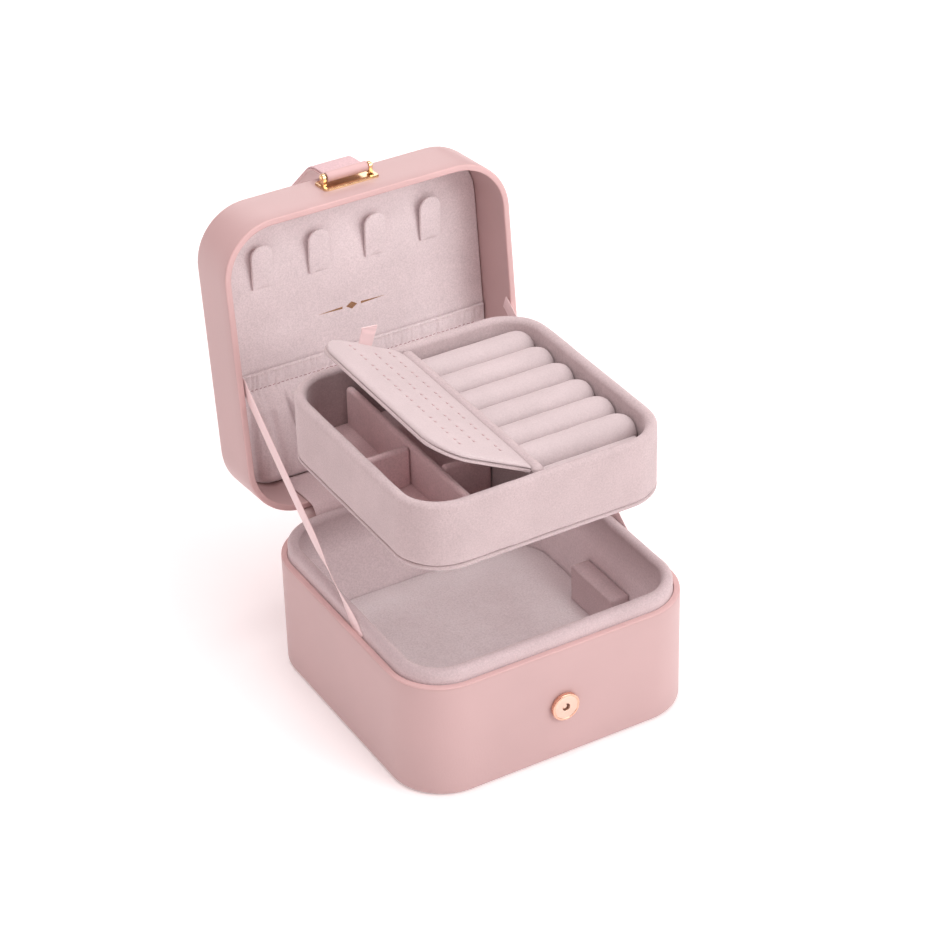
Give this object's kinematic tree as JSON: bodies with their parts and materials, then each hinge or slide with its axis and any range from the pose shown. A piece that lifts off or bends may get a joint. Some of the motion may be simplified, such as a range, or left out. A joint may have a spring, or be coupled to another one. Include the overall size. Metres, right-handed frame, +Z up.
{
  "type": "leather jewellery case",
  "caption": "Small square leather jewellery case with a hinged lid, velvet lining, necklace hooks, a gathered lid pocket, a strap clasp and a lift-out tray with ring rolls and a flap.",
  "frame": {"origin": "middle of the flat underside of the base", "axes": "+X to the right seen from the front, +Y from the front (clasp) to the back (hinge), +Z up"},
  "size_m": [0.12, 0.1935, 0.1755],
  "materials": {
    "leather": "smooth satin pink artificial leather",
    "velvet": "short-pile velvet, pale dusty pink",
    "suede": "mauve-pink suede backing",
    "ribbon": "satin ribbon",
    "rose_gold": "polished pale rose-gold plating",
    "bottom_cover": "matt cover sheet"
  },
  "bodies": {
    "base": {"base_shell": "leather", "base_bottom_cover": "bottom_cover", "base_liner": "velvet", "base_floor_pad": "velvet", "support_block_left": "velvet", "support_block_right": "velvet", "clasp_button_ring": "rose_gold", "clasp_button_face": "rose_gold", "hinge_strip_outer": "leather", "hinge_strip_inner": "velvet", "stay_ribbon_left": "ribbon", "stay_ribbon_right": "ribbon"},
    "lid": {"lid_shell": "leather", "lid_panel": "velvet", "lid_pocket": "velvet", "pocket_elastic_band": "velvet", "necklace_hook_1": "velvet", "necklace_hook_2": "velvet", "necklace_hook_3": "velvet", "necklace_hook_4": "velvet", "clasp_plate": "rose_gold", "clasp_post_left": "rose_gold", "clasp_post_right": "rose_gold", "clasp_bar": "rose_gold"},
    "strap_root": {"strap_root_leather": "leather", "strap_root_lining": "suede"},
    "strap_end": {"strap_end_leather": "leather", "strap_end_lining": "suede", "strap_snap": "rose_gold"},
    "tray": {"tray_walls": "velvet", "tray_bottom_board": "velvet", "tray_floor_pad": "velvet", "tray_main_divider": "velvet", "tray_long_partition": "velvet", "tray_cross_partition_left": "velvet", "tray_cross_partition_right": "velvet", "ring_front_ledge": "velvet", "flap_hinge_strip": "velvet", "ring_roll_1": "velvet", "ring_roll_2": "velvet", "ring_roll_3": "velvet", "ring_roll_4": "velvet", "ring_roll_5": "velvet", "ring_roll_6": "velvet"},
    "flap": {"flap_board": "velvet", "flap_pad": "velvet", "flap_ribbon": "ribbon"}
  },
  "joints": [
    {"name": "lid_hinge", "type": "hinge", "parent": "base", "child": "lid", "pos_m": [0, 0.064, 0.048], "axis": [-1, 0, 0], "range_deg": [-95.57, 0], "deforming": ["hinge_strip_outer", "hinge_strip_inner", "stay_ribbon_left", "stay_ribbon_right"]},
    {"name": "tray_lift", "type": "slide", "parent": "base", "child": "tray", "axis": [0, 0, 1], "range_m": [-0.064, 0]},
    {"name": "flap_hinge", "type": "hinge", "parent": "tray", "child": "flap", "pos_m": [-0.0043, 0, 0.1168], "axis": [0, 1, 0], "range_deg": [-27, 0], "deforming": ["flap_ribbon"]},
    {"name": "strap_hinge", "type": "hinge", "parent": "lid", "child": "strap_root", "pos_m": [0, 0.09131, 0.17354], "axis": [-1, 0, 0], "range_deg": [-180, 0]},
    {"name": "strap_bend", "type": "hinge", "parent": "strap_root", "child": "strap_end", "pos_m": [0, 0.10432, 0.17137], "axis": [-1, 0, 0], "range_deg": [-38, 0]}
  ],
  "couplings": [
    {"joint": "tray_lift", "follows": "lid_hinge", "m_per_rad": 0.03837},
    {"joint": "flap_hinge", "follows": "lid_hinge", "ratio": 0.2825},
    {"joint": "strap_bend", "follows": "strap_hinge", "ratio": 0.2111}
  ]
}
